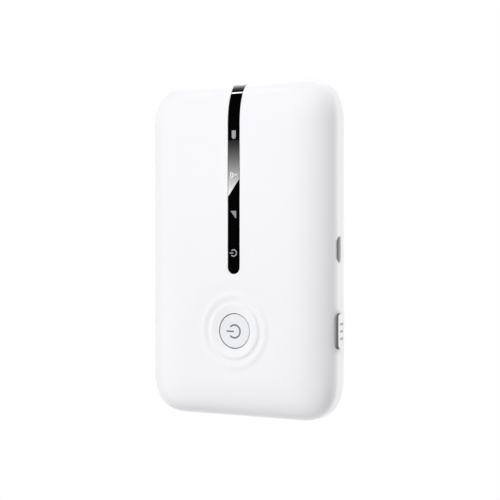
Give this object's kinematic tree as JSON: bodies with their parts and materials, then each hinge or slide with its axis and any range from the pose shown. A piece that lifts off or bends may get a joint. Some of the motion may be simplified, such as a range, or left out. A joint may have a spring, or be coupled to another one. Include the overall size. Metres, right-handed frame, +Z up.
{
  "type": "mobile hotspot",
  "caption": "Upright pebble-shaped pocket hotspot: black indicator strip, round power button, side pairing key, micro-USB port and a pull-off back cover over a removable battery.",
  "frame": {"origin": "middle of the flat bottom end that the object stands on, midway across its side band", "axes": "+Z up the long side, +Y from the front face to the back cover, +X to the right of someone who looks at the front, towards the charging port and the side key"},
  "size_m": [0.0637, 0.0135, 0.1],
  "materials": {
    "white_gloss": "glossy moulded",
    "white_key": "glossy moulded",
    "white_satin": "fine spun rings",
    "black_gloss": "polished",
    "milky_plastic": "milky",
    "black_plastic": "fine grain",
    "grey_plastic": "fine grain",
    "steel": "plain",
    "tinned_steel": "tinned",
    "gold_contact": "gold plated",
    "board_green": "solder mask",
    "chip_black": "moulded epoxy",
    "foil_copper": "copper foil",
    "battery_wrap": "film wrap",
    "foam": "closed-cell foam"
  },
  "bodies": {
    "body": {"battery_contact_1": "gold_contact", "battery_contact_2": "gold_contact", "battery_contact_3": "gold_contact", "battery_contact_block": "black_plastic", "cellular_antenna": "foil_copper", "cellular_clip": "gold_contact", "diversity_antenna": "foil_copper", "diversity_clip": "gold_contact", "frame_screw_1": "steel", "frame_screw_2": "steel", "frame_screw_3": "steel", "frame_screw_4": "steel", "frame_screw_5": "steel", "frame_screw_6": "steel", "front_shell": "white_gloss", "indicator_lens": "black_gloss", "inner_frame": "grey_plastic", "led_battery": "milky_plastic", "led_power": "milky_plastic", "led_signal": "milky_plastic", "led_wifi": "milky_plastic", "light_baffle": "black_plastic", "light_diffuser": "milky_plastic", "main_board": "board_green", "memory_chip": "chip_black", "modem_chip": "chip_black", "modem_shield": "tinned_steel", "power_chip": "chip_black", "power_inductor": "chip_black", "power_switch_body": "tinned_steel", "radio_shield": "tinned_steel", "side_switch_body": "tinned_steel", "sim_socket_base": "black_plastic", "sim_socket_cover": "tinned_steel", "transceiver_chip": "chip_black", "usb_socket_shell": "steel", "usb_socket_tongue": "black_plastic", "wifi_antenna": "foil_copper", "wifi_chip": "chip_black", "wifi_clip": "gold_contact", "wifi_shield": "tinned_steel"},
    "button": {"power_button": "white_satin", "power_switch_plunger": "black_plastic"},
    "key": {"side_key": "white_key", "side_switch_plunger": "black_plastic"},
    "cover": {"back_cover": "white_gloss", "battery_pad": "foam"},
    "battery": {"battery_pack": "battery_wrap", "battery_terminal_board": "gold_contact"}
  },
  "joints": [
    {"name": "button_press", "type": "slide", "parent": "body", "child": "button", "axis": [0, 1, 0], "range_m": [0, 0.0003], "stiffness_N_per_m": 800},
    {"name": "key_press", "type": "slide", "parent": "body", "child": "key", "axis": [-1, 0, 0], "range_m": [0, 0.0003], "stiffness_N_per_m": 800},
    {"name": "cover_pull", "type": "slide", "parent": "body", "child": "cover", "axis": [0, 1, 0], "range_m": [0, 0.03]},
    {"name": "battery_lift", "type": "slide", "parent": "body", "child": "battery", "axis": [0, 1, 0], "range_m": [0, 0.015]}
  ],
  "couplings": [
    {"joint": "battery_lift", "follows": "cover_pull", "ratio": 0.5}
  ]
}
